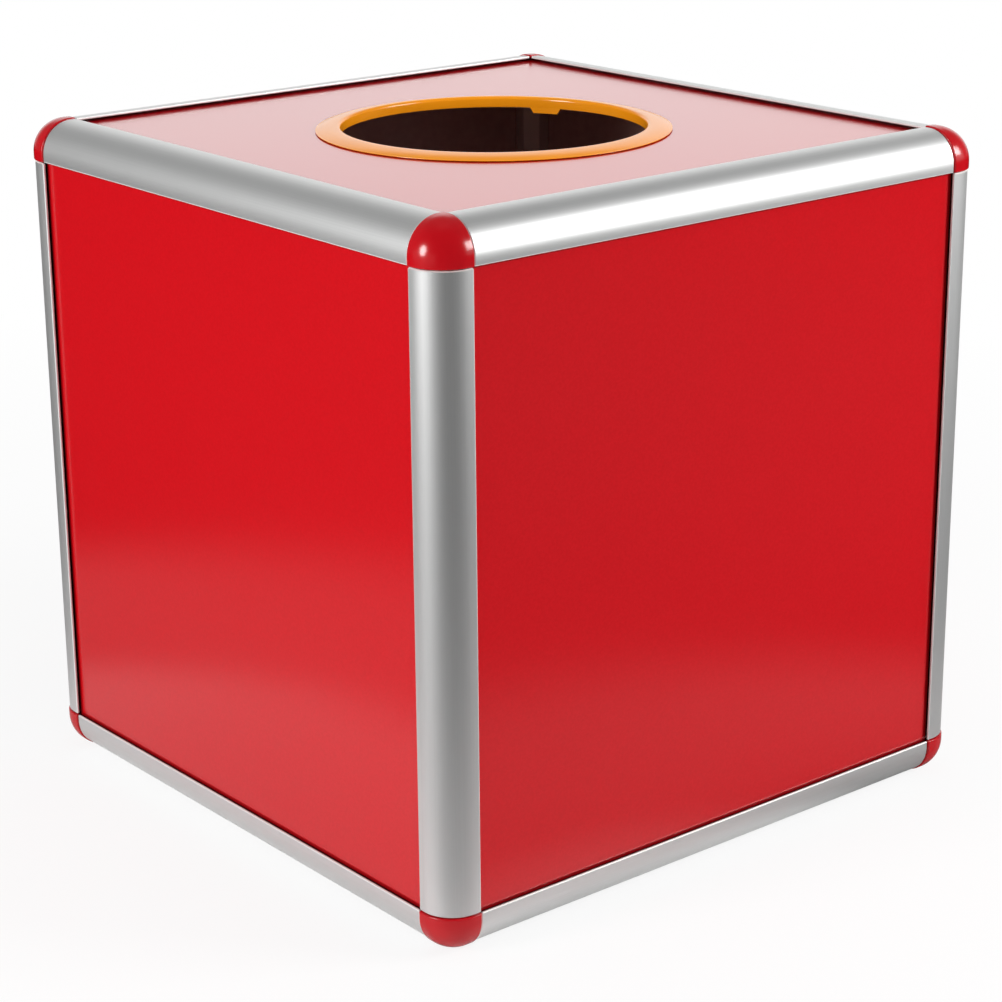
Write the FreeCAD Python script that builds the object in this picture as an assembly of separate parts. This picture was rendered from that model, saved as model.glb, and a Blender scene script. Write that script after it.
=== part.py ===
import FreeCAD, Part
import itertools
import math
import os
from FreeCAD import Placement, Rotation, Vector

# Donation box: a cube with a round hand hole in its top.
# Twelve aluminium edge rails with panel slots, eight moulded corner connectors plugged into them,
# six thin panels standing in the slots, and a ring snapped into the hole.
# Lengths are millimetres, angles are degrees.
# The origin is the middle of the footprint, on the surface the box stands on. +Z is up, -Y is the front.

# Overall size, over the corner caps
WIDTH = 300.0
DEPTH = 300.0
HEIGHT = 300.0

# Edge rail section: a quarter-round skin with two lips, a square tube behind it and a neck between them
EDGE_RADIUS = 14.6
LIP_LAND = 2.9
RAIL_WALL = 1.2
NECK_WIDTH = 2.4
TUBE_FLAT = 6.4

# Panels
PANEL_THICKNESS = 3.0
PANEL_GAP = 0.9
PANEL_CLEARANCE = 0.1
PANEL_EDGE_CLEARANCE = 1.0

# Corner connectors. The bevel of a prong's tip takes at most the limit's share of the prong's wall.
CAP_PROUD = 0.5
CAP_WALL = 1.5
PRONG_LENGTH = 45.0
PRONG_CLEARANCE = 0.1
PRONG_WALL = 1.8
PRONG_LEAD = 1.2
LEAD_LIMIT = 0.8

# Mouth ring
MOUTH_RADIUS = 67.0
FLANGE_WIDTH = 11.0
FLANGE_RIM = 0.7
RING_CREST = 2.3
CREST_INSET = 2.6
CREST_CHAMFER = 0.8
BARREL_WALL = 1.6
BARREL_CLEARANCE = 0.3
BARREL_SHORT = 0.4

# Snap tongues of the ring
TONGUE_COUNT = 3
TONGUE_TURN = 30.0
TONGUE_ROOT_WIDTH = 14.6
TONGUE_TIP_WIDTH = 11.6
TONGUE_DROP = 2.4
HOOK_BITE = 1.2
HOOK_CLEARANCE = 0.15
HOOK_FACE = 0.6

# Chamfer of a square's corner that touches the same circle as its sides, for a circle of radius one
OCTAGON = 2 - math.sqrt(2)

# Sizes that follow from the ones above, as depths behind the rails' outer faces
rail_size = EDGE_RADIUS + LIP_LAND
thicker_wall = max(RAIL_WALL, CAP_WALL)
panel_depth = thicker_wall + PANEL_GAP
tube_depth = panel_depth + PANEL_THICKNESS + PANEL_CLEARANCE
tube_chamfer = rail_size - tube_depth - TUBE_FLAT
hollow_chamfer = tube_chamfer - RAIL_WALL * OCTAGON

# A panel's edge stays clear of the slot's floor, and its corners are cut off to clear the ball of the cap
slot_floor_reach = math.sqrt((EDGE_RADIUS - thicker_wall) ** 2 - (EDGE_RADIUS - panel_depth) ** 2)
slot_floor = EDGE_RADIUS - slot_floor_reach
pocket_chamfer = slot_floor_reach * OCTAGON
panel_reach = slot_floor_reach - PANEL_EDGE_CLEARANCE
panel_inset = EDGE_RADIUS - panel_reach
panel_chamfer = panel_reach * OCTAGON

barrel_radius = MOUTH_RADIUS + BARREL_WALL
hole_radius = barrel_radius + BARREL_CLEARANCE
flange_radius = MOUTH_RADIUS + FLANGE_WIDTH
barrel_depth = PANEL_THICKNESS - BARREL_SHORT
tongue_depth = barrel_depth + TONGUE_DROP

# Outer faces of the rails, which stand a little inside the caps
rails_low = Vector(-WIDTH / 2, -DEPTH / 2, 0) + Vector(1, 1, 1) * CAP_PROUD
rails_high = Vector(WIDTH / 2, DEPTH / 2, HEIGHT) - Vector(1, 1, 1) * CAP_PROUD

AXES = (Vector(1, 0, 0), Vector(0, 1, 0), Vector(0, 0, 1))
SIDES = (-1, 1)
SIDE_WORDS = (("left", "right"), ("front", "back"), ("bottom", "top"))
OVERSHOOT = 1.0
SAME_PLACE = 1e-4


def side_word(axis, side):
    return SIDE_WORDS[axis][SIDES.index(side)]


def block(low, high):
    """Box between two opposite corners."""
    low = Vector(*low)
    size = Vector(*high) - low
    return Part.makeBox(size.x, size.y, size.z, low)


def straight_edges(shape, middles):
    """Straight edges of a shape, found by their middle points."""
    return [edge for middle in middles for edge in shape.Edges
            if (edge.CenterOfMass - Vector(*middle)).Length < SAME_PLACE]


def polygon_face(points):
    return Part.Face(Part.makePolygon([*points, points[0]]))


def arc_edge(center, radius, start, end):
    """Arc in the XZ plane between two angles, both from the X axis towards Z."""
    angles = (start, (start + end) / 2, end)
    points = [center + Vector(math.cos(a), 0, math.sin(a)) * radius for a in angles]
    return Part.Arc(*points).toShape()


def line_edge(start, end):
    return Part.LineSegment(start, end).toShape()


# Rails. Local X and Y are depths behind the two outer faces, and Z runs along the rail.

def rail_skin(length):
    """Quarter-round wall between two lips, and the solid form inside its outer face."""
    middle = length / 2
    outer = block((0, 0, 0), (rail_size, rail_size, length))
    outer = outer.makeFillet(EDGE_RADIUS, straight_edges(outer, [(0, 0, middle)]))
    far = rail_size + OVERSHOOT
    inner = block((RAIL_WALL, RAIL_WALL, -OVERSHOOT), (far, far, length + OVERSHOOT))
    inner_edge = straight_edges(inner, [(RAIL_WALL, RAIL_WALL, middle)])
    inner = inner.makeFillet(EDGE_RADIUS - RAIL_WALL, inner_edge)
    return outer.cut(inner), outer


def tube_profile(low, high, chamfer, height):
    """Square section at a height along the rail, with the corner that faces the box's middle cut off."""
    points = [(low, low), (high, low), (high, high - chamfer), (high - chamfer, high), (low, high)]
    return polygon_face([Vector(x, y, height) for x, y in points])


def hollow_profile(inset, height):
    """Section of the hollow in a rail's tube, drawn in by an inset."""
    low = tube_depth + RAIL_WALL + inset
    high = rail_size - RAIL_WALL - inset
    return tube_profile(low, high, hollow_chamfer - inset * OCTAGON, height)


def edge_rail(length):
    skin, outer = rail_skin(length)
    tube = tube_profile(tube_depth, rail_size, tube_chamfer, 0).extrude(Vector(0, 0, length))
    neck_reach = (tube_depth + RAIL_WALL / 2) * math.sqrt(2)
    neck = Part.makeBox(neck_reach, NECK_WIDTH, length, Vector(0, -NECK_WIDTH / 2, 0))
    neck.rotate(Vector(), AXES[2], 45)
    body = skin.fuse([tube.common(outer), neck.common(outer)])
    hollow = hollow_profile(0, -OVERSHOOT).extrude(Vector(0, 0, length + 2 * OVERSHOOT))
    return body.cut(hollow).removeSplitter()


def rail_name(axis, sides):
    kind = "post" if axis == 2 else "rail"
    words = [side_word(other, side) for other, side in sides]
    return "_".join([kind, *reversed(words)])


def rails():
    """One rail along each of the box's twelve edges, between the corner connectors."""
    for axis, along in enumerate(AXES):
        length = (rails_high - rails_low).dot(along) - 2 * rail_size
        rail = edge_rail(length)
        others = [other for other in range(3) if other != axis]
        for pair in itertools.product(SIDES, repeat=2):
            sides = list(zip(others, pair))
            inward = [AXES[other] * -side for other, side in sides]
            if inward[0].cross(inward[1]).dot(along) < 0:
                inward.reverse()
            start = corner_point(dict(sides)) + along * rail_size
            yield rail_name(axis, sides), seated(rail, start, *inward)


# Corner connectors. Local X, Y and Z are depths behind the three outer faces.

def corner_point(sides):
    """Where the rails' outer faces would meet, on the named side of each axis and the low side of the rest."""
    ends = (rails_low, rails_high)
    return Vector(*[ends[SIDES.index(sides.get(axis, -1))][axis] for axis in range(3)])


def seated(shape, origin, x_axis, y_axis):
    """Copy of a shape with its own origin and axes moved onto the given ones."""
    copy = shape.copy()
    turn = Rotation(x_axis, y_axis, x_axis.cross(y_axis), "XYZ")
    copy.Placement = Placement(origin, turn)
    return copy


def three_ways(shape):
    """A shape and its two turned copies about the corner's diagonal."""
    return [shape, seated(shape, Vector(), AXES[1], AXES[2]), seated(shape, Vector(), AXES[2], AXES[0])]


def ball_corner(low, high, radius):
    """Cube whose low corner is a ball and whose three edges there are round, all of one radius."""
    middle = low + radius
    before, past = low - OVERSHOOT, high + OVERSHOOT
    ball = Part.makeSphere(radius, Vector(middle, middle, middle), Vector(1, -1, 0))
    off_corner = block((before,) * 3, (middle,) * 3).cut(ball)
    round_bar = Part.makeCylinder(radius, past - middle, Vector(middle, middle, middle))
    off_edge = block((before, before, middle), (middle, middle, past)).cut(round_bar)
    return block((low,) * 3, (high,) * 3).cut([off_corner, *three_ways(off_edge)])


def prong():
    """Hollow prong along Z that fills a rail's tube, with a bevelled tip."""
    end = rail_size + PRONG_LENGTH
    root = rail_size - RAIL_WALL
    bar = hollow_profile(PRONG_CLEARANCE, root).extrude(Vector(0, 0, end - root))
    tip_edges = [edge for edge in bar.Edges if abs(edge.BoundBox.ZMin - end) < SAME_PLACE]
    bar = bar.makeChamfer(min(PRONG_LEAD, LEAD_LIMIT * PRONG_WALL), tip_edges)
    core = hollow_profile(PRONG_CLEARANCE + PRONG_WALL, rail_size + PRONG_WALL)
    return bar.cut(core.extrude(Vector(0, 0, PRONG_LENGTH)))


def panel_pocket():
    """Room for one panel's corner, behind the cap's wall and in front of the core, open towards the rails."""
    far = rail_size + OVERSHOOT
    pocket = block((CAP_WALL, slot_floor, slot_floor), (tube_depth, far, far))
    corner = straight_edges(pocket, [((CAP_WALL + tube_depth) / 2, slot_floor, slot_floor)])
    return pocket.makeChamfer(pocket_chamfer, corner)


def corner_connector():
    """Ball-corner cap with a pocket for each panel's corner and three hollow prongs that plug into the rails."""
    cap = ball_corner(-CAP_PROUD, rail_size, EDGE_RADIUS + CAP_PROUD)
    trim = Part.makeBox(rail_size, rail_size, rail_size, Vector(-rail_size / 2, -rail_size / 2, 0))
    trim.Placement = Placement(Vector(1, 1, 1) * (rail_size - tube_chamfer / 3),
                               Rotation(AXES[2], Vector(1, 1, 1)))
    body = cap.cut([*three_ways(panel_pocket()), trim])
    return body.fuse(three_ways(prong())).removeSplitter()


def corners():
    """The same connector at each of the box's eight corners."""
    connector = corner_connector()
    for sides in itertools.product(SIDES, repeat=3):
        inward = [AXES[axis] * -side for axis, side in enumerate(sides)]
        if inward[0].cross(inward[1]).dot(inward[2]) < 0:
            inward.reverse()
        words = [side_word(axis, side) for axis, side in enumerate(sides)]
        origin = corner_point(dict(enumerate(sides)))
        yield "corner_" + "_".join(reversed(words)), seated(connector, origin, inward[0], inward[1])


# Panels

def panel(axis, side):
    """Thin board with cut corners, standing in the slots around one side of the box."""
    low = rails_low + Vector(1, 1, 1) * panel_inset
    high = rails_high - Vector(1, 1, 1) * panel_inset
    if side < 0:
        low[axis] = rails_low[axis] + panel_depth
        high[axis] = low[axis] + PANEL_THICKNESS
    else:
        high[axis] = rails_high[axis] - panel_depth
        low[axis] = high[axis] - PANEL_THICKNESS
    board = block(low, high)
    across = [edge for edge in board.Edges if abs(edge.tangentAt(0).dot(AXES[axis])) > 1 - SAME_PLACE]
    return board.makeChamfer(panel_chamfer, across)


def panels():
    for axis in range(3):
        for side in SIDES:
            yield "panel_" + side_word(axis, side), panel(axis, side)


def top_panel_with_hole(board):
    floor = board.BoundBox.ZMin - OVERSHOOT
    drill = Part.makeCylinder(hole_radius, PANEL_THICKNESS + 2 * OVERSHOOT, Vector(0, 0, floor))
    return board.cut(drill)


# Mouth ring. Its own zero height is the top panel's outer face.

def ring_section():
    """Half section: domed flange, chamfered inner edge and a short barrel that stands in the hole."""
    crest = Vector(MOUTH_RADIUS + CREST_INSET, 0, RING_CREST)
    rim_top = Vector(flange_radius, 0, FLANGE_RIM)
    run = rim_top.x - crest.x
    drop = crest.z - rim_top.z
    dome_radius = (run ** 2 + drop ** 2) / (2 * drop)
    dome_center = crest - Vector(0, 0, dome_radius)
    dome_start = math.acos(run / dome_radius)
    dome_end = math.pi / 2 + math.asin((CREST_INSET - CREST_CHAMFER) / dome_radius)
    dome = arc_edge(dome_center, dome_radius, dome_start, dome_end)
    inner_top = dome.Vertexes[-1].Point
    points = [inner_top,
              Vector(MOUTH_RADIUS, 0, inner_top.z - CREST_CHAMFER),
              Vector(MOUTH_RADIUS, 0, -barrel_depth),
              Vector(barrel_radius, 0, -barrel_depth),
              Vector(barrel_radius, 0, 0),
              Vector(flange_radius, 0, 0),
              rim_top]
    sides = [line_edge(*pair) for pair in itertools.pairwise(points)]
    return Part.Face(Part.Wire([dome, *sides]))


def tongue_section():
    """Half section of a tongue: it goes on below the barrel and hooks outwards under the panel."""
    hook_top = -PANEL_THICKNESS - HOOK_CLEARANCE
    hook_radius = hole_radius + HOOK_BITE
    points = [
        (MOUTH_RADIUS, -barrel_depth / 2),
        (MOUTH_RADIUS, -tongue_depth),
        (MOUTH_RADIUS + BARREL_WALL / 2, -tongue_depth),
        (hook_radius, hook_top - HOOK_FACE),
        (hook_radius, hook_top),
        (barrel_radius, hook_top),
        (barrel_radius, -barrel_depth / 2),
    ]
    return polygon_face([Vector(x, 0, z) for x, z in points])


def tongue_window(angle):
    """Radial wedge whose outline, seen from the mouth's middle, is the tongue's tapered shape."""
    root, tip = TONGUE_ROOT_WIDTH / 2, TONGUE_TIP_WIDTH / 2
    outline = [(-root, 0), (-root, -barrel_depth), (-tip, -tongue_depth),
               (tip, -tongue_depth), (root, -barrel_depth), (root, 0)]
    near = MOUTH_RADIUS - BARREL_WALL
    face = polygon_face([Vector(near, y, z) for y, z in outline])
    window = face.extrude(Vector(hole_radius + 2 * HOOK_BITE - near, 0, 0))
    window.rotate(Vector(), AXES[2], angle)
    return window


def mouth_ring():
    full_turn = 360
    ring = ring_section().revolve(Vector(), AXES[2], full_turn)
    skirt = tongue_section().revolve(Vector(), AXES[2], full_turn)
    tongues = [skirt.common(tongue_window(TONGUE_TURN + full_turn * n / TONGUE_COUNT))
               for n in range(TONGUE_COUNT)]
    ring = ring.fuse(tongues).removeSplitter()
    ring.translate(Vector(0, 0, rails_high.z - panel_depth))
    return ring


def main():
    pieces = {**dict(rails()), **dict(corners()), **dict(panels())}
    pieces["panel_top"] = top_panel_with_hole(pieces["panel_top"])
    pieces["mouth_ring"] = mouth_ring()
    os.makedirs("parts", exist_ok=True)
    for name, shape in pieces.items():
        print(f"{name}: solids {len(shape.Solids)}, valid {shape.isValid()}, volume {shape.Volume:.0f} mm3")
        shape.exportStep(f"parts/{name}.step")


main()
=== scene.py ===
# %% [markdown]
# A donation box: a cube of thin red panels held by aluminium edge rails, with a red ball corner on every
# corner and an orange ring in the round hand hole of its top.
# The CAD frame already holds every piece at its real size, so this lesson adds the looks: finer surfaces
# where light shows them, a finish for each material, a small photo studio and a camera.

# %% Load the frame
import math

import bmesh
import bpy
import numpy as np
from mathutils import Matrix, Vector
from mathutils.geometry import tessellate_polygon


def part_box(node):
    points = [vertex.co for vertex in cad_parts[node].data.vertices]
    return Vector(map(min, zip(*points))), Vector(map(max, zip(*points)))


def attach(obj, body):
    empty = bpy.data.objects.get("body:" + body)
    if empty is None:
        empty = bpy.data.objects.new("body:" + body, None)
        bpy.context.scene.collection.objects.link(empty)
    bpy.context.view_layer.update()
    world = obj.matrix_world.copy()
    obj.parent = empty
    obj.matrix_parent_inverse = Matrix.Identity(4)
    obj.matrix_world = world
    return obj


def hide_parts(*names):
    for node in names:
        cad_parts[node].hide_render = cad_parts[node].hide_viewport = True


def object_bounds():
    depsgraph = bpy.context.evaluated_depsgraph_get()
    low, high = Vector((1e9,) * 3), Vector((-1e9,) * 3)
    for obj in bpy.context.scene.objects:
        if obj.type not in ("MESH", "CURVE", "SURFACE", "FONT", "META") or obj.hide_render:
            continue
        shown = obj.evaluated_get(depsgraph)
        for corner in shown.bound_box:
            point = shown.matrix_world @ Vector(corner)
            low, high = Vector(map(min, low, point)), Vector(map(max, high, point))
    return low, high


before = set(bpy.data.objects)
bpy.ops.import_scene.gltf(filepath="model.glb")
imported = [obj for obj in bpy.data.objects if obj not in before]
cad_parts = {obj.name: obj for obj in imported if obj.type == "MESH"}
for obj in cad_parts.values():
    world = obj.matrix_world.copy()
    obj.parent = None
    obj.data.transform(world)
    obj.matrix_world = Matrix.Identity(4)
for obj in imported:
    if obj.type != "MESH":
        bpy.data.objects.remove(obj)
cad_box = [list(corner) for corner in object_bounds()]
MM = 0.001
print("CAD box, mm:", [[round(x / MM, 2) for x in corner] for corner in cad_box])

# %% [markdown]
# The camera comes first, because every later choice is judged through it. Its place was found by matching
# the box's corners to the photograph. A long lens from about 1.2 m keeps the edges nearly parallel.
# Blender's camera looks down its own -Z axis, so it is first laid level, then tilted, turned and rolled.

# %% The camera
PHOTO_PIXELS = 1002
FOCAL_PIXELS = 2651.6
CAMERA_PLACE = Vector((-728.46, -892.17, 506.93)) * MM
CAMERA_AZIMUTH = math.radians(-39.32)
CAMERA_ELEVATION = math.radians(18.336)
CAMERA_ROLL = math.radians(-0.465)


def photo_camera():
    """Lens length is focal pixels times sensor width over photo pixels. The turns are roll, tilt, turn."""
    lens = bpy.data.cameras.new("photo_camera")
    lens.lens = FOCAL_PIXELS * lens.sensor_width / PHOTO_PIXELS
    camera = bpy.data.objects.new("photo_camera", lens)
    tilt = Matrix.Rotation(math.pi / 2 - CAMERA_ELEVATION, 4, "X")
    turn = Matrix.Rotation(CAMERA_AZIMUTH, 4, "Z")
    roll = Matrix.Rotation(CAMERA_ROLL, 4, "Z")
    camera.matrix_world = Matrix.Translation(CAMERA_PLACE) @ turn @ tilt @ roll
    bpy.context.scene.collection.objects.link(camera)
    bpy.context.scene.camera = camera
    return lens


print("lens, mm:", round(photo_camera().lens, 2))
bpy.context.scene.view_settings.view_transform = "Standard"

# %% [markdown]
# Every new piece is a surface worked out as whole arrays. A grid of points has rows and columns, and its
# quads join each point to its neighbours. Several grids are joined into one shell by giving points that
# fall together one number, which closes the seams between them.

# %% Grids and shells
SAME_PLACE = 1e-6
CELL_SHIFT = 0.37
SHARP_ANGLE = math.radians(32)


def grid_quads(rows, columns, wrap=False):
    """Four point numbers for each quad: a point, the next in its row, and the same two in the next row."""
    row = np.arange(rows - 1)[:, None] * columns
    column = np.arange(columns if wrap else columns - 1)
    following = (column + 1) % columns
    return np.stack([row + column, row + following, row + columns + following, row + columns + column],
                    axis=-1).reshape(-1, 4)


def grid_patch(points, wrap=False):
    """A grid of points, rows by columns by three, as a patch of points and quads."""
    rows, columns = points.shape[:2]
    return points.reshape(-1, 3), grid_quads(rows, columns, wrap)


def join_patches(patches):
    """All patches as one set of points and faces. Points whose rounded places agree become one point.

    The shift keeps round sizes away from the places where rounding jumps.
    """
    sizes = [len(points) for points, _ in patches]
    starts = np.cumsum([0, *sizes[:-1]])
    points = np.concatenate([points for points, _ in patches])
    keys = np.floor(points / SAME_PLACE + CELL_SHIFT).astype(np.int64)
    _, first, number = np.unique(keys, axis=0, return_index=True, return_inverse=True)
    number = number.reshape(-1)
    faces = [number[faces + start] for (_, faces), start in zip(patches, starts)]
    return points[first], faces, first


def shell_piece(name, patches, material, body, nodes, flow=None):
    """One closed piece from its patches. A flow, which is a pair of numbers per point, becomes a UV map."""
    points, faces, first = join_patches(patches)
    mesh = bpy.data.meshes.new(name)
    mesh.from_pydata(points.tolist(), [], [face for group in faces for face in group.tolist()])
    work = bmesh.new()
    work.from_mesh(mesh)
    bmesh.ops.recalc_face_normals(work, faces=work.faces)
    work.to_mesh(mesh)
    work.free()
    mesh.polygons.foreach_set("use_smooth", np.ones(len(mesh.polygons), bool))
    mesh.set_sharp_from_angle(angle=SHARP_ANGLE)
    if flow is not None:
        corners = np.zeros(len(mesh.loops), np.int32)
        mesh.loops.foreach_get("vertex_index", corners)
        layer = mesh.uv_layers.new(name="flow")
        layer.data.foreach_set("uv", np.asarray(flow, np.float32)[first][corners].ravel())
    mesh.materials.append(material)
    piece = bpy.data.objects.new(name, mesh)
    bpy.context.scene.collection.objects.link(piece)
    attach(piece, body)
    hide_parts(*nodes)
    return piece


def arc(center, radius, start, end, count):
    """Points on an arc: centre plus radius times the cosine and sine of evenly spaced angles in degrees."""
    angle = np.radians(np.linspace(start, end, count))
    return np.asarray(center) + radius * np.stack([np.cos(angle), np.sin(angle)], axis=-1)


print("a grid of 3 by 4 points has", len(grid_quads(3, 4)), "quads")

# %% [markdown]
# Materials are node trees. A small helper starts one from the Principled shader and hands back the tree and
# the shader. Patterns are laid out in Object coordinates, which are metres in the box's own frame. No real
# surface has one even colour, so most finishes run between two close tones, shared out by a soft noise.

# %% Material helpers
TONE_LOW = 0.3
TONE_HIGH = 0.7


def new_finish(name, **sockets):
    """A Principled material with its constant sockets set."""
    material = bpy.data.materials.new(name)
    material.use_nodes = True
    tree = material.node_tree
    shader = tree.nodes["Principled BSDF"]
    for socket, value in sockets.items():
        shader.inputs[socket.replace("_", " ").title().replace("Ior", "IOR")].default_value = value
    return material, tree, shader


def add(tree, kind, inputs=None, **settings):
    """One node with its settings, whose inputs are values or other nodes' outputs."""
    node = tree.nodes.new(kind)
    for key, value in settings.items():
        setattr(node, key, value)
    for key, value in (inputs or {}).items():
        if isinstance(value, bpy.types.NodeSocket):
            tree.links.new(value, node.inputs[key])
        else:
            node.inputs[key].default_value = value
    return node


def spread(tree, value, low, high, out_low, out_high):
    """A value between low and high, mapped onto another range and held inside it."""
    inputs = {"Value": value, "From Min": low, "From Max": high, "To Min": out_low, "To Max": out_high}
    return add(tree, "ShaderNodeMapRange", inputs).outputs["Result"]


def combine(tree, operation, first, second):
    """Two numbers made into one, such as the larger of them or their product."""
    return add(tree, "ShaderNodeMath", {0: first, 1: second}, operation=operation).outputs["Value"]


def blend(tree, share, first, second):
    """A colour on the way from the first to the second, by a share between 0 and 1."""
    inputs = {"Factor": share, "A": first, "B": second}
    return add(tree, "ShaderNodeMix", inputs, data_type="RGBA").outputs["Result"]


def noise(tree, place, scale, detail):
    """A soft noise around one half, with scale lumps per unit of place and detail finer layers."""
    inputs = {"Vector": place, "Scale": scale, "Detail": detail}
    return add(tree, "ShaderNodeTexNoise", inputs).outputs["Fac"]


def two_tones(tree, share, dark, light):
    """The dark tone up to TONE_LOW, the light one from TONE_HIGH, and an even run between them."""
    ramp = add(tree, "ShaderNodeValToRGB", {"Fac": share})
    for stop, position, tone in zip(ramp.color_ramp.elements, (TONE_LOW, TONE_HIGH), (dark, light)):
        stop.position = position
        stop.color = tone
    return ramp.outputs["Color"]


def set_bump(tree, shader, height, strength, distance):
    """Small heights that tilt the light without moving the surface."""
    bump = add(tree, "ShaderNodeBump", {"Height": height, "Strength": strength, "Distance": distance})
    tree.links.new(bump.outputs["Normal"], shader.inputs["Normal"])


print("finishes run between two tones from", TONE_LOW, "to", TONE_HIGH, "of their noise")

# %% [markdown]
# The edge rails are extruded aluminium with a satin anodised finish. The die leaves faint lines along the
# length, so the pattern follows the rail: the UV map's first number runs across the section and its second
# along the rail, both in metres, and the noise is stretched along the second. Where the saw has cut, the
# metal is bare and brighter. The fine rounded noses of the lips get the same brighter metal as a painted
# highlight. An attribute called bare_and_highlight_edge marks both.

# %% Anodised aluminium
DIE_LINES = (3000, 6, 1)
LINE_STRENGTH = 0.02
LINE_DEPTH = 0.05 * MM
GRAIN_SCALE = 2600.0
METAL_DETAIL = 2.0
ANODISED_DARK = (0.835, 0.84, 0.835, 1)
ANODISED_LIGHT = (0.865, 0.87, 0.865, 1)
# Bare metal at the cut ends, and a painted highlight on the lips' noses.
BARE_AND_HIGHLIGHT_METAL = (0.95, 0.95, 0.94, 1)
ANODISED_METALLIC = 0.9
BARE_AND_HIGHLIGHT_METALLIC = 0.4
SATIN_LOW = 0.47
SATIN_HIGH = 0.51


def anodised_aluminium():
    """Die lines set the tone and the bump, a fine grain the roughness, and bare cut ends and the painted
    highlight on the lips' noses the brightest metal.
    """
    material, tree, shader = new_finish("anodised_aluminium")
    flow = add(tree, "ShaderNodeUVMap", uv_map="flow").outputs["UV"]
    lines_at = add(tree, "ShaderNodeMapping", {"Vector": flow, "Scale": DIE_LINES}).outputs["Vector"]
    lines = noise(tree, lines_at, 1.0, METAL_DETAIL)
    place = add(tree, "ShaderNodeTexCoord").outputs["Object"]
    grain = noise(tree, place, GRAIN_SCALE, METAL_DETAIL)
    bare_and_highlight = add(tree, "ShaderNodeAttribute", attribute_name="bare_and_highlight_edge").outputs["Fac"]
    colour = blend(tree, bare_and_highlight, two_tones(tree, lines, ANODISED_DARK, ANODISED_LIGHT), BARE_AND_HIGHLIGHT_METAL)
    metallic = spread(tree, bare_and_highlight, 0, 1, ANODISED_METALLIC, BARE_AND_HIGHLIGHT_METALLIC)
    satin = spread(tree, grain, TONE_LOW, TONE_HIGH, SATIN_LOW, SATIN_HIGH)
    tree.links.new(colour, shader.inputs["Base Color"])
    tree.links.new(metallic, shader.inputs["Metallic"])
    tree.links.new(satin, shader.inputs["Roughness"])
    set_bump(tree, shader, lines, LINE_STRENGTH, LINE_DEPTH)
    return material


ALUMINIUM = anodised_aluminium()
print("finish:", ALUMINIUM.name)

# %% [markdown]
# A rail's section is the same on both sides of its diagonal, so half of it is drawn and mirrored. It runs
# from the middle of the outer round, along the lip and round the lip's nose, back inside the skin to the
# neck, and round the square tube to the middle of its cut corner. The small nose radius matters: it is
# what catches the light as a fine bright line beside every panel, and a painted highlight on the nose adds to
# it.

# %% The rail's section
post_low, post_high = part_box("post_front_left")
RAIL_SIZE = post_high.x - post_low.x
EDGE_RADIUS = 14.6 * MM
RAIL_WALL = 1.2 * MM
NOSE_RADIUS = 0.45 * MM
NECK_HALF = 1.2 * MM
TUBE_DEPTH = 5.5 * MM
TUBE_FLAT = 6.4 * MM
TUBE_ROUND = 0.5 * MM
ROUND_STEPS = 40
NOSE_STEPS = 6
TUBE_STEPS = 5


def half_section():
    """Half of a rail's outline: depths behind its two outer faces, from the outer round to the cut corner."""
    middle = (EDGE_RADIUS, EDGE_RADIUS)
    nose = RAIL_SIZE - NOSE_RADIUS
    inner = EDGE_RADIUS - RAIL_WALL
    neck_turn = math.degrees(math.asin(NECK_HALF / inner))
    tube = RAIL_SIZE - TUBE_ROUND
    cut = (RAIL_SIZE + TUBE_DEPTH + TUBE_FLAT) / 2
    return np.concatenate([
        arc(middle, EDGE_RADIUS, 225, 270, ROUND_STEPS),
        arc((nose, NOSE_RADIUS), NOSE_RADIUS, 270, 360, NOSE_STEPS),
        arc((nose, RAIL_WALL - NOSE_RADIUS), NOSE_RADIUS, 0, 90, NOSE_STEPS),
        arc(middle, inner, 270, 225 + neck_turn, ROUND_STEPS // 2),
        [(TUBE_DEPTH + math.sqrt(2) * NECK_HALF, TUBE_DEPTH)],
        arc((tube, TUBE_DEPTH + TUBE_ROUND), TUBE_ROUND, 270, 360, TUBE_STEPS),
        [(RAIL_SIZE, TUBE_DEPTH + TUBE_FLAT), (cut, cut)],
    ])


def full_section():
    """The half outline, followed by its mirror image walked backwards, without repeating the two ends."""
    half = half_section()
    return np.concatenate([half, half[-2:0:-1, ::-1]])


def drawn_in(outline, amount):
    """An outline moved towards its inside: each point goes along the normal of the chord past it."""
    chord = np.roll(outline, -1, axis=0) - np.roll(outline, 1, axis=0)
    normal = np.stack([-chord[:, 1], chord[:, 0]], axis=-1)
    return outline + amount * normal / np.linalg.norm(normal, axis=1, keepdims=True)


section = full_section()
print("rail section:", len(section), "points")

# %% [markdown]
# The outline is carried along each of the box's twelve edges. Each rail stops just short of the corners,
# which leaves a fine seam. Its first and last rows are drawn in a little, which is the deburred edge of the
# saw cut. The tube is hollow, so a second, smaller outline makes its inside, and each end is filled between
# the two outlines.

# %% The twelve rails
HOLLOW_WALL = 1.2 * MM
DEBURR = 0.45 * MM
SEAM = 0.4 * MM
OCTAGON = 2 - math.sqrt(2)
box_middle = (np.array(cad_box[0]) + np.array(cad_box[1])) / 2


def hollow_section(inset):
    """The tube's hollow, drawn in by an inset: a square with the corner towards the box's middle cut off."""
    low = TUBE_DEPTH + HOLLOW_WALL + inset
    high = RAIL_SIZE - HOLLOW_WALL - inset
    cut = RAIL_SIZE - TUBE_DEPTH - TUBE_FLAT - (HOLLOW_WALL + inset) * OCTAGON
    return np.array([(low, low), (high, low), (high, high - cut), (high - cut, high), (low, high)])


def edge_place(node):
    """A rail's long axis, its two other axes, and the outer face and inward direction on each of those."""
    low, high = (np.array(corner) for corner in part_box(node))
    along = int(np.argmax(high - low))
    others = [axis for axis in range(3) if axis != along]
    outside = np.where((low + high) / 2 < box_middle, low, high)
    inward = np.where((low + high) / 2 < box_middle, 1.0, -1.0)
    return along, others, outside, inward, low[along], high[along]


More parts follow.
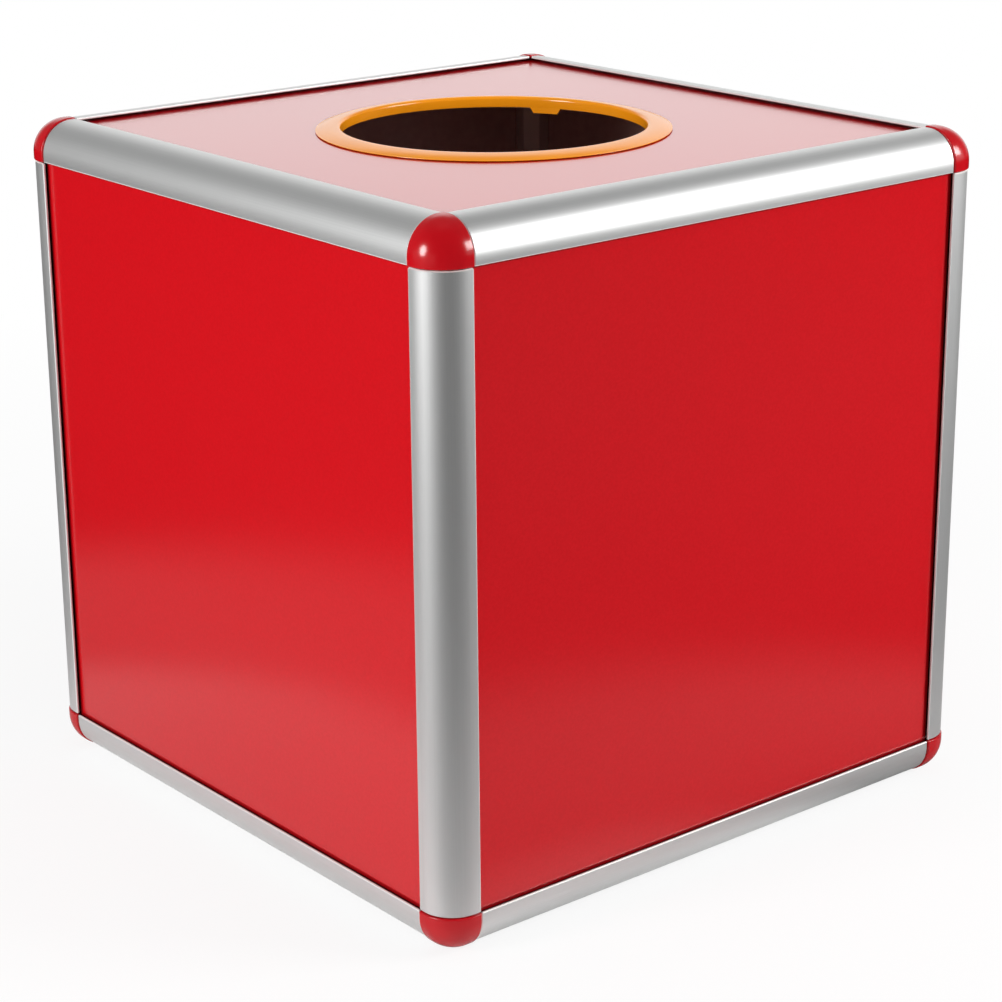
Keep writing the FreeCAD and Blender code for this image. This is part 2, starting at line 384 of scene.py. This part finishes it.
def carried(outlines, heights, place):
    """Outlines at heights along an edge, as a grid: outer face plus inward direction times depth."""
    along, others, outside, inward, _, _ = place
    grid = np.zeros((len(heights), outlines.shape[1], 3))
    grid[..., others] = outside[others] + inward[others] * outlines
    grid[..., along] = np.asarray(heights)[:, None]
    return grid


def end_patch(outer, inner):
    """The flat ring between two outlines at a rail's end."""
    loops = [[Vector(point) for point in loop] for loop in (outer, inner)]
    return np.concatenate([outer, inner]), np.array(tessellate_polygon(loops))


def mark_bare_and_highlight_edges(mesh, place):
    """One on the faces of the lips' noses, as a painted highlight, and of the deburred outer ends, as bare
    metal, found by depth and distance.
    """
    along, others, outside, inward, start, end = place
    middle = np.zeros(3 * len(mesh.polygons))
    mesh.polygons.foreach_get("center", middle)
    middle = middle.reshape(-1, 3)
    depth = (middle[:, others] - outside[others]) * inward[others]
    reach = np.minimum(middle[:, along] - start, end - middle[:, along])
    # The noses carry a painted highlight; the deburred cut ends are bare metal.
    nose = (depth.max(axis=1) > RAIL_SIZE - NOSE_RADIUS) & (depth.min(axis=1) < RAIL_WALL)
    cut = (reach < SEAM + DEBURR) & (reach > SEAM + DEBURR / 4)
    turns = np.zeros(len(mesh.polygons), np.int32)
    mesh.polygons.foreach_get("loop_total", turns)
    layer = mesh.attributes.new("bare_and_highlight_edge", "FLOAT", "CORNER")
    layer.data.foreach_set("value", np.repeat((nose | cut).astype(np.float32), turns))


def edge_rail(node):
    """The outline at four heights: drawn in at both ends, full between them, with the hollow inside."""
    place = edge_place(node)
    start, end = place[-2] + SEAM, place[-1] - SEAM
    small = drawn_in(section, DEBURR)
    heights = [start, start + DEBURR, end - DEBURR, end]
    skin = carried(np.stack([small, section, section, small]), heights, place)
    tube = carried(np.stack([hollow_section(0)] * 2), [start, end], place)
    patches = [grid_patch(skin, wrap=True), grid_patch(tube, wrap=True),
               end_patch(skin[0], tube[0]), end_patch(skin[-1], tube[-1])]
    across = np.linalg.norm(np.diff(section, axis=0, prepend=section[:1]), axis=1).cumsum()
    skin_flow = np.stack(np.broadcast_arrays(across, skin[..., place[0]]), axis=-1).reshape(-1, 2)
    rest = sum(len(points) for points, _ in patches[1:])
    flow = np.concatenate([skin_flow, np.zeros((rest, 2))])
    piece = shell_piece(node + "_extrusion", patches, ALUMINIUM, "box", [node], flow)
    mark_bare_and_highlight_edges(piece.data, place)
    return piece


rails = [edge_rail(node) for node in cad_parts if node.startswith(("rail_", "post_"))]
print("rails:", len(rails), "with", len(rails[0].data.polygons), "faces each")

# %% [markdown]
# The corner connectors are glossy red mouldings. Their colour is solid, so the finish is mostly gloss: a
# low roughness, faint flow marks in the colour, and a slight unevenness of the surface that bends the
# reflections a little, as moulded plastic does.

# %% Glossy plastics
PLASTIC_IOR = 1.5
FLOW_SCALE = 60.0
FLOW_DETAIL = 3.0
WAVE_SCALE = 180.0
WAVE_DETAIL = 1.0
WAVE_DEPTH = 0.1 * MM
CORNER_DARK = (0.46, 0.0015, 0.006, 1)
CORNER_LIGHT = (0.50, 0.002, 0.007, 1)
RING_DARK = (0.93, 0.31, 0.006, 1)
RING_LIGHT = (0.97, 0.33, 0.008, 1)


def glossy_plastic(name, dark, light, roughness, waviness):
    """Wide flow marks set the tone, and a finer wave bends the reflections."""
    material, tree, shader = new_finish(name, roughness=roughness, ior=PLASTIC_IOR)
    place = add(tree, "ShaderNodeTexCoord").outputs["Object"]
    colour = two_tones(tree, noise(tree, place, FLOW_SCALE, FLOW_DETAIL), dark, light)
    tree.links.new(colour, shader.inputs["Base Color"])
    set_bump(tree, shader, noise(tree, place, WAVE_SCALE, WAVE_DETAIL), waviness, WAVE_DEPTH)
    return material


RED_PLASTIC = glossy_plastic("red_corner_plastic", CORNER_DARK, CORNER_LIGHT, roughness=0.19, waviness=0.05)
ORANGE_PLASTIC = glossy_plastic("orange_ring_plastic", RING_DARK, RING_LIGHT, roughness=0.17, waviness=0.04)
print("finishes:", RED_PLASTIC.name, ORANGE_PLASTIC.name)

# %% [markdown]
# A ball corner is the corner of a cube with every edge rounded by one radius. Seen from a cube face, each
# point of the face is pulled to the nearest point of a smaller cube inside, plus one radius: that one rule
# gives the ball, the three round edges and the flats. One face's patch is worked out and turned about the
# diagonal to give the other two. The rims that meet the rails are rolled over by a small radius, and the
# wall has an inside surface, so the cap is a closed shell.

# %% The ball cap
corner_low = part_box("corner_bottom_front_left")[0]
CAP_PROUD = post_low.x - corner_low.x
CAP_WALL = 1.5 * MM
RIM_RADIUS = 0.45 * MM
BALL_RADIUS = EDGE_RADIUS + CAP_PROUD
BALL_STEPS = 28
FLAT_STEPS = 4
RIM_STEPS = 6
WALL_STEPS = 4


def rim_path():
    """Places across a cube face from the ball's side to the rim, and how deep each lies below the outside."""
    ball = EDGE_RADIUS - BALL_RADIUS * np.tan(np.radians(np.linspace(45, 0, BALL_STEPS)))
    flat = np.linspace(EDGE_RADIUS, RAIL_SIZE - RIM_RADIUS, FLAT_STEPS)[1:]
    turn = np.radians(np.linspace(0, 90, RIM_STEPS)[1:])
    place = np.concatenate([ball, flat, RAIL_SIZE - RIM_RADIUS * (1 - np.sin(turn))])
    depth = np.concatenate([np.zeros(len(ball) + len(flat)), RIM_RADIUS * (1 - np.cos(turn))])
    return place, depth


def rounded_corner(across, up, depth):
    """Nearest point of the inner cube, plus the radius less the depth towards the face point."""
    across, up, depth = np.broadcast_arrays(across, up, depth)
    face = np.stack([across, up, np.full_like(across, -CAP_PROUD)], axis=-1)
    core = np.maximum(face, EDGE_RADIUS)
    away = face - core
    away = away / np.linalg.norm(away, axis=-1, keepdims=True)
    return core + (BALL_RADIUS - depth[..., None]) * away


def three_ways(points):
    """A patch's points and their two turned copies about the corner's diagonal."""
    return [np.roll(points, turn, axis=-1) for turn in range(3)]


def cap_patches():
    """Outside, inside and two rims of one cube face, each turned to the other two faces."""
    place, depth = rim_path()
    outside = rounded_corner(place[:, None], place, np.maximum(depth[:, None], depth))
    inside = rounded_corner(place[:, None], place, CAP_WALL)
    wall = np.linspace(RIM_RADIUS, CAP_WALL, WALL_STEPS)[:, None]
    rims = [rounded_corner(RAIL_SIZE, place, wall), rounded_corner(place, RAIL_SIZE, wall)]
    return [grid_patch(turned) for points in (outside, inside, *rims) for turned in three_ways(points)]


print("ball cap:", sum(len(faces) for _, faces in cap_patches()), "faces")

# %% [markdown]
# Behind the cap a solid core joins three prongs, which plug into the rails' tubes and hold the box
# together. They are hidden in use, so they stay simple: the hollow's outline, drawn in by the clearance,
# is carried along the prong and tapers at its tip.

# %% Core and prongs
corner_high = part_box("corner_bottom_front_left")[1]
PRONG_END = corner_high.x - post_low.x
PRONG_CLEARANCE = 0.1 * MM
PRONG_LEAD = 1.2 * MM
CORE_LOW = 7.0 * MM


def flat_fill(loop):
    """A flat outline filled with triangles."""
    return loop, np.array(tessellate_polygon([[Vector(point) for point in loop]]))


def prong_patches():
    """The hollow's outline at three heights, drawn in by the clearance and, at the tip, by the lead."""
    root = RAIL_SIZE - RAIL_WALL
    insets = np.array([PRONG_CLEARANCE, PRONG_CLEARANCE, PRONG_CLEARANCE + PRONG_LEAD])
    outlines = np.stack([hollow_section(inset) for inset in insets])
    heights = np.array([root, PRONG_END - PRONG_LEAD, PRONG_END])
    raised = np.broadcast_to(heights[:, None, None], (*outlines.shape[:2], 1))
    bar = np.concatenate([outlines, raised], axis=-1)
    return [part for turned in three_ways(bar)
            for part in (grid_patch(turned, wrap=True), flat_fill(turned[0]), flat_fill(turned[-1]))]


def core_patches():
    """A cube behind the cap, its corner towards the box's middle cut off, as flat faces around ten points."""
    cut = TUBE_DEPTH + TUBE_FLAT
    low, high = CORE_LOW, RAIL_SIZE
    near = np.array([(low, low, low), (high, low, low), (high, high, low), (low, high, low)])
    far = np.array([(high, low, low), (high, high, low), (high, high, cut),
                    (high, cut, high), (high, low, high)])
    trim = np.array([(high, high, cut), (cut, high, high), (high, cut, high)])
    return [flat_fill(face) for shape in (near, far) for face in three_ways(shape)] + [flat_fill(trim)]


def corner_connector(node, patches):
    """The same connector at each corner: outer corner plus inward direction times depth on all three axes."""
    low, high = (np.array(corner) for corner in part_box(node))
    before = (low + high) / 2 < box_middle
    inward = np.where(before, 1.0, -1.0)
    faces_at = np.where(before, low, high) + inward * CAP_PROUD
    placed = [(faces_at + inward * points, faces) for points, faces in patches]
    return shell_piece(node + "_moulding", placed, RED_PLASTIC, "box", [node])


connector = cap_patches() + prong_patches() + core_patches()
corners = [corner_connector(node, connector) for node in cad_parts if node.startswith("corner_")]
print("corners:", len(corners), "with", len(corners[0].data.polygons), "faces each")

# %% [markdown]
# The ring round the mouth is a thin moulding: a domed flange that hides the edge of the hole, a rolled
# inner lip and a short barrel. It is a half section turned about the box's upright axis. The section is
# drawn with smooth curves, because a glossy ring shows every flat step as a broken reflection. Its rim is
# undercut, which leaves the fine dark line between ring and panel, and a hair's gap lets the flange turn.

# %% The mouth ring
ring_low, ring_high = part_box("mouth_ring")
PANEL_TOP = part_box("panel_top")[1].z
FLANGE_RADIUS = ring_high.x
CREST_HEIGHT = ring_high.z - PANEL_TOP
MOUTH_RADIUS = 67.0 * MM
LIP_ROUND = 1.4 * MM
FLANGE_RIM = 0.65 * MM
RIM_ROUND = 0.2 * MM
UNDERCUT = 1.0 * MM
SEAT_GAP = 0.05 * MM
DOME_POWER = 2.1
BARREL_WALL = 1.6 * MM
BARREL_DEPTH = 2.6 * MM
BARREL_ROUND = 0.25 * MM
DOME_STEPS = 18
LIP_STEPS = 12
RING_RIM_STEPS = 5
BARREL_STEPS = 4
RING_TURNS = 240


def ring_section():
    """Half section as radius and height. The dome falls from its crest with a power of the distance."""
    crest = MOUTH_RADIUS + LIP_ROUND
    run = FLANGE_RADIUS - RIM_ROUND - crest
    drop = CREST_HEIGHT - FLANGE_RIM
    slope = math.degrees(math.atan(DOME_POWER * drop / run))
    share = np.linspace(1, 0, DOME_STEPS)
    dome = np.stack([crest + run * share, CREST_HEIGHT - drop * share ** DOME_POWER], axis=-1)
    rim = FLANGE_RADIUS - RIM_ROUND
    low = BARREL_ROUND - BARREL_DEPTH
    foot = MOUTH_RADIUS + BARREL_WALL
    return np.concatenate([
        arc((rim, FLANGE_RIM - RIM_ROUND), RIM_ROUND, 0, 90 - slope, RING_RIM_STEPS),
        dome,
        arc((crest, CREST_HEIGHT - LIP_ROUND), LIP_ROUND, 90, 180, LIP_STEPS)[1:],
        arc((MOUTH_RADIUS + BARREL_ROUND, low), BARREL_ROUND, 180, 270, BARREL_STEPS),
        arc((foot - BARREL_ROUND, low), BARREL_ROUND, 270, 360, BARREL_STEPS),
        [(foot, SEAT_GAP), (FLANGE_RADIUS - UNDERCUT, SEAT_GAP)],
    ])


def turned_about_mouth(outline, angles):
    """Radius times the cosine and sine of the angle, and height above the top panel's outer face."""
    radius, height = outline[..., 0], outline[..., 1]
    return np.stack([radius * np.cos(angles), radius * np.sin(angles), height + PANEL_TOP], axis=-1)


def ring_patch():
    """The half section at every angle of a full turn, with its first row repeated to close it."""
    outline = ring_section()
    angles = np.linspace(0, 2 * np.pi, RING_TURNS, endpoint=False)
    points = turned_about_mouth(np.broadcast_to(outline[:, None], (len(outline), RING_TURNS, 2)), angles)
    closed = np.concatenate([points, points[:1]])
    return grid_patch(closed, wrap=True)


print("ring section:", len(ring_section()), "points")

# %% [markdown]
# Three snap tongues hang from the barrel and hook under the panel's edge. Each is its own section, carried
# over a short arc whose width tapers from the root to the tip.

# %% Snap tongues
TONGUE_COUNT = 3
FIRST_TONGUE = 30
TONGUE_ANGLES = np.radians(FIRST_TONGUE + 360 / TONGUE_COUNT * np.arange(TONGUE_COUNT))
TONGUE_ROOT = 14.6 * MM
TONGUE_TIP = 11.6 * MM
TONGUE_DEPTH = PANEL_TOP - ring_low.z
HOOK_RADIUS = 70.1 * MM
HOOK_TOP = 3.15 * MM
HOOK_FACE = 0.6 * MM
TONGUE_STEPS = 24


def tongue_patches(angle):
    """Half width falls from root to tip with depth, and its angle is the arcsine of width over radius."""
    foot = MOUTH_RADIUS + BARREL_WALL
    outline = np.array([
        (MOUTH_RADIUS, -BARREL_DEPTH / 2), (MOUTH_RADIUS, -BARREL_DEPTH), (MOUTH_RADIUS, -TONGUE_DEPTH),
        (MOUTH_RADIUS + BARREL_WALL / 2, -TONGUE_DEPTH), (HOOK_RADIUS, -HOOK_TOP - HOOK_FACE),
        (HOOK_RADIUS, -HOOK_TOP), (foot, -HOOK_TOP), (foot, -BARREL_DEPTH), (foot, -BARREL_DEPTH / 2)])
    share = np.clip((-outline[:, 1] - BARREL_DEPTH) / (TONGUE_DEPTH - BARREL_DEPTH), 0, 1)
    half = (TONGUE_ROOT + (TONGUE_TIP - TONGUE_ROOT) * share) / 2
    reach = np.arcsin(half / outline[:, 0])
    angles = angle + np.linspace(-1, 1, TONGUE_STEPS)[:, None] * reach
    points = turned_about_mouth(np.broadcast_to(outline, (*angles.shape, 2)), angles)
    return [grid_patch(points, wrap=True), flat_fill(points[0]), flat_fill(points[-1])]


ring_parts = [ring_patch()] + [part for angle in TONGUE_ANGLES for part in tongue_patches(angle)]
ring = shell_piece("mouth_ring_moulding", ring_parts, ORANGE_PLASTIC,
                   "ring", ["mouth_ring"])
print("ring:", len(ring.data.polygons), "faces")

# %% [markdown]
# The panels are flat boards, and the CAD nodes already have the right shape, so they only need a finish. A
# satin red film with a clear coat covers the outer face, and the inside is bare board. Which face a point is
# on follows from Object coordinates: the outer faces lie furthest from the box's middle along one axis. The
# second largest of the three coordinates then tells how near a point is to the panel's edge.

# %% Places on a panel
PANEL_FACE = PANEL_TOP - box_middle[2]
FILM_DEPTH = 0.3 * MM
FILM_EDGE = PANEL_FACE - FILM_DEPTH


def panel_places(tree, place):
    """Film is where the largest of three sizes passes the film's edge, and level where the upright one does.

    The second largest size, across, is the larger of two: the smaller of the level sizes, and the smaller of
    the larger level size and the upright one.
    """
    at_middle = {"Vector": place, "Location": tuple(-box_middle)}
    centred = add(tree, "ShaderNodeMapping", at_middle).outputs["Vector"]
    size = add(tree, "ShaderNodeVectorMath", {0: centred}, operation="ABSOLUTE").outputs["Vector"]
    parts = add(tree, "ShaderNodeSeparateXYZ", {"Vector": size}).outputs
    larger = combine(tree, "MAXIMUM", parts["X"], parts["Y"])
    smaller = combine(tree, "MINIMUM", parts["X"], parts["Y"])
    film = combine(tree, "GREATER_THAN", combine(tree, "MAXIMUM", larger, parts["Z"]), FILM_EDGE)
    across = combine(tree, "MAXIMUM", smaller, combine(tree, "MINIMUM", larger, parts["Z"]))
    level = combine(tree, "GREATER_THAN", parts["Z"], FILM_EDGE)
    return film, across, level


print("film starts, mm from the box's middle:", round(FILM_EDGE / MM, 2))

# %% [markdown]
# A panel goes under the rails' lips, and there it gets little light. That shade is painted into the film's
# colour:
# a soft painted shade runs along the lip, and the slot behind it is painted nearly black, so a fine dark line
# frames every panel. On the level panels the light comes from above and reaches further in, so their painted
# line is weaker. The board inside is rougher than the film.

# %% Red film on board
LIP_EDGE = -post_low.x - RAIL_SIZE
# Painted shade along the lips and a painted shadow in the slot, both in the film's colour.
SHADE_WIDTH = 1.3 * MM
SHADE_SOFT = 0.6 * MM
SHADE_MOST = 0.7
PAINTED_SHADE_TINT = (0.16, 0.001, 0.002, 1)
SLOT_START = 0.25 * MM
SLOT_SOFT = 0.4 * MM
SLOT_MOST = 0.96
PAINTED_SLOT_SHADE = (0.02, 0.001, 0.002, 1)
LEVEL_PAINTED_SHADE = 0.4
FILM_DARK = (0.53, 0.002, 0.006, 1)
FILM_LIGHT = (0.58, 0.003, 0.008, 1)
FILM_ROUGH = 0.2
FILM_IOR = 1.44
COAT_SHARE = 0.6
COAT_ROUGH = 0.12
BOARD_DARK = (0.54, 0.31, 0.29, 1)
BOARD_LIGHT = (0.60, 0.36, 0.34, 1)
BOARD_ROUGH = 0.4
MOTTLE_SCALE = 900.0
MOTTLE_DETAIL = 3.0
MOTTLE_STRENGTH = 0.08
MOTTLE_DEPTH = 0.05 * MM
FIBRE_SCALE = 260.0
FIBRE_DETAIL = 5.0


def painted_lip_shade(tree, colour, across, painted_shade_share):
    """Painted shade: a colour that darkens towards the slot in two steps, each a soft run of the distance
    across.
    """
    steps = ((LIP_EDGE - SHADE_WIDTH, SHADE_SOFT, SHADE_MOST, PAINTED_SHADE_TINT),
             (LIP_EDGE + SLOT_START, SLOT_SOFT, SLOT_MOST, PAINTED_SLOT_SHADE))
    for start, soft, most, tint in steps:
        dark = spread(tree, across, start, start + soft, 0, most)
        colour = blend(tree, combine(tree, "MULTIPLY", dark, painted_shade_share), colour, tint)
    return colour


def red_panel_board():
    """Board where there is no film, film elsewhere, and the painted shade along the lips on the film alone.
    """
    material, tree, shader = new_finish("red_panel_board", ior=FILM_IOR, coat_weight=COAT_SHARE,
                                        coat_roughness=COAT_ROUGH, coat_ior=FILM_IOR)
    place = add(tree, "ShaderNodeTexCoord").outputs["Object"]
    film, across, level = panel_places(tree, place)
    mottle = noise(tree, place, MOTTLE_SCALE, MOTTLE_DETAIL)
    red = two_tones(tree, mottle, FILM_DARK, FILM_LIGHT)
    board = two_tones(tree, noise(tree, place, FIBRE_SCALE, FIBRE_DETAIL), BOARD_DARK, BOARD_LIGHT)
    # The painted shade shows on the film only, and less on the level panels, where light falls from above.
    painted_shade_share = combine(tree, "MULTIPLY", film, spread(tree, level, 0, 1, 1, LEVEL_PAINTED_SHADE))
    colour = painted_lip_shade(tree, blend(tree, film, board, red), across, painted_shade_share)
    tree.links.new(colour, shader.inputs["Base Color"])
    tree.links.new(spread(tree, film, 0, 1, BOARD_ROUGH, FILM_ROUGH), shader.inputs["Roughness"])
    set_bump(tree, shader, mottle, MOTTLE_STRENGTH, MOTTLE_DEPTH)
    return material


RED_BOARD = red_panel_board()
panels = [piece for node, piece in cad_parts.items() if node.startswith("panel_")]
for panel in panels:
    panel.data.materials.clear()
    panel.data.materials.append(RED_BOARD)
print("panels:", len(panels))

# %% [markdown]
# The studio is a pale floor in white surroundings. The camera sees plain white there. Mirror-like
# reflections see what a studio really has: a white backdrop behind the box, grey sides, and a dark room
# behind the camera. That dark side is what gives metal and gloss their depth.

# %% Surroundings
SURROUND_LIGHT = 0.36
BACKDROP = Vector((-math.sin(CAMERA_AZIMUTH), math.cos(CAMERA_AZIMUTH), 0))
STUDIO_STOPS = ((0.0, 0.03), (0.3, 0.04), (0.6, 0.12), (0.8, 0.18), (0.88, 0.32), (0.925, 0.98))


def studio_surroundings():
    """White for the camera, an even level for matt surfaces, and a shade by direction for reflections."""
    world = bpy.data.worlds.new("studio_surroundings")
    world.use_nodes = True
    tree = world.node_tree
    path = add(tree, "ShaderNodeLightPath").outputs
    seen = combine(tree, "MAXIMUM", path["Is Camera Ray"], path["Is Transmission Ray"])
    plain = spread(tree, seen, 0, 1, SURROUND_LIGHT, 1.0)
    towards = add(tree, "ShaderNodeTexCoord").outputs["Generated"]
    facing = add(tree, "ShaderNodeVectorMath", {0: towards, 1: BACKDROP}, operation="DOT_PRODUCT")
    along = facing.outputs["Value"]
    shade = add(tree, "ShaderNodeValToRGB", {"Fac": spread(tree, along, -1, 1, 0, 1)})
    stops = shade.color_ramp.elements
    for position, _ in STUDIO_STOPS[1:-1]:
        stops.new(position)
    for stop, (position, level) in zip(stops, STUDIO_STOPS):
        stop.position = position
        stop.color = (level, level, level, 1)
    by_ray = {"Factor": path["Is Glossy Ray"], "A": plain, "B": shade.outputs["Color"]}
    strength = add(tree, "ShaderNodeMix", by_ray, data_type="FLOAT").outputs["Result"]
    tree.links.new(strength, tree.nodes["Background"].inputs["Strength"])
    tree.nodes["Background"].inputs["Color"].default_value = (1, 1, 1, 1)
    bpy.context.scene.world = world


studio_surroundings()
print("surroundings:", len(STUDIO_STOPS), "stops from", STUDIO_STOPS[0][1], "to", STUDIO_STOPS[-1][1])

# %% [markdown]
# The floor is a white table. The camera sees it nearly white with a soft shadow under the box. Reflections
# see it bright only near the box: it dims quickly at first, then slowly, because a table ends and the room
# beyond is dark. From below, the floor is clear.

# %% The floor
FLOOR_HALF = 4.5
FLOOR_WHITE = 0.86
TABLE_MIDDLE = (-0.06, 0.04, 0)
TABLE_NEAR = 0.2
TABLE_MID = 0.25
TABLE_END = 0.45
TABLE_FAR = 0.9
FLOOR_GREY = (0.9, 0.9, 0.9, 1)
FLOOR_ROUGH = 0.9
DIM_NEAR = (0.05, 0.67)
DIM_FAR = (0.2, 0.98)


def stage_sheet(name, corners, material):
    """One flat face through its corners."""
    mesh = bpy.data.meshes.new(name)
    mesh.from_pydata(corners, [], [list(range(len(corners)))])
    mesh.materials.append(material)
    sheet = bpy.data.objects.new(name, mesh)
    bpy.context.scene.collection.objects.link(sheet)
    return sheet


def table_shader(tree, shader):
    """Whiter with distance for the camera, and darker with distance for gloss, by the larger of two runs."""
    path = add(tree, "ShaderNodeLightPath").outputs
    place = add(tree, "ShaderNodeTexCoord").outputs["Object"]
    apart = add(tree, "ShaderNodeVectorMath", {0: place, 1: TABLE_MIDDLE}, operation="DISTANCE")
    distance = apart.outputs["Value"]
    white = add(tree, "ShaderNodeEmission").outputs["Emission"]
    share = spread(tree, distance, TABLE_NEAR, TABLE_FAR, FLOOR_WHITE, 1.0)
    share = combine(tree, "MULTIPLY", share, path["Is Camera Ray"])
    seen = add(tree, "ShaderNodeMixShader", {"Fac": share, 1: shader.outputs["BSDF"], 2: white})
    near = spread(tree, distance, TABLE_NEAR, TABLE_MID, *DIM_NEAR)
    far = spread(tree, distance, TABLE_MID, TABLE_END, *DIM_FAR)
    gone = combine(tree, "MULTIPLY", combine(tree, "MAXIMUM", near, far), path["Is Glossy Ray"])
    dark = add(tree, "ShaderNodeEmission", {"Strength": 0.0}).outputs["Emission"]
    mix = add(tree, "ShaderNodeMixShader", {"Fac": gone, 1: seen.outputs["Shader"], 2: dark})
    return mix.outputs["Shader"]


def pale_floor():
    """A square sheet at the box's feet, with the table on its upper side and nothing on its lower one."""
    material, tree, shader = new_finish("pale_floor", base_color=FLOOR_GREY, roughness=FLOOR_ROUGH)
    below = add(tree, "ShaderNodeNewGeometry").outputs["Backfacing"]
    clear = add(tree, "ShaderNodeBsdfTransparent").outputs["BSDF"]
    mix = add(tree, "ShaderNodeMixShader", {"Fac": below, 1: table_shader(tree, shader), 2: clear})
    tree.links.new(mix.outputs["Shader"], tree.nodes["Material Output"].inputs["Surface"])
    half = FLOOR_HALF
    corners = [(-half, -half, 0), (half, -half, 0), (half, half, 0), (-half, half, 0)]
    return stage_sheet("floor", corners, material)


print("stage:", pale_floor().name)

# %% [markdown]
# Two softboxes stand to the left and right of the camera. Their places follow from the highlights on the
# front ball corner: a highlight's normal lies halfway between the camera and the lamp. A third, wide lamp is
# the lit backdrop, whose sheen lies over the top of the box. Two dim ones stand for the white cards that a
# photographer puts beside metal, so that its flat sides don't mirror a dark room. The one above the box lifts
# the matt colours of ring and top, and mirror-like reflections leave it out.

# %% Softboxes


def softbox(name, azimuth, elevation, distance, width, height, radiance, shape="RECTANGLE", mirrored=True):
    """A flat lamp turned towards the box's middle. Power is radiance times width times height times pi."""
    light = bpy.data.lights.new(name, "AREA")
    light.shape = shape
    light.size = width
    light.size_y = height
    light.energy = radiance * width * height * math.pi
    lamp = bpy.data.objects.new(name, light)
    turn, rise = math.radians(azimuth), math.radians(elevation)
    away = Vector((math.sin(turn) * math.cos(rise), -math.cos(turn) * math.cos(rise), math.sin(rise)))
    lamp.location = Vector(box_middle) + away * distance
    lamp.rotation_euler = away.to_track_quat("Z", "Y").to_euler()
    lamp.visible_camera = False
    lamp.visible_glossy = mirrored
    bpy.context.scene.collection.objects.link(lamp)
    return lamp


lamps = [
    softbox("left_softbox", azimuth=-94, elevation=18, distance=1.5,
            width=0.46, height=0.6, radiance=15.5, shape="ELLIPSE"),
    softbox("right_softbox", azimuth=41, elevation=25, distance=1.4, width=0.58, height=0.4, radiance=16.8),
    softbox("top_softbox", azimuth=0, elevation=90, distance=1.15,
            width=0.5, height=0.5, radiance=1.6, mirrored=False),
    softbox("lit_backdrop", azimuth=141, elevation=22, distance=1.9, width=2.2, height=1.0, radiance=0.2),
    softbox("left_card", azimuth=-92, elevation=1, distance=1.2, width=1.6, height=0.6, radiance=0.28),
    softbox("right_card", azimuth=44, elevation=15, distance=1.2, width=0.9, height=0.36, radiance=0.9),
]
print("lamps:", [lamp.name for lamp in lamps])
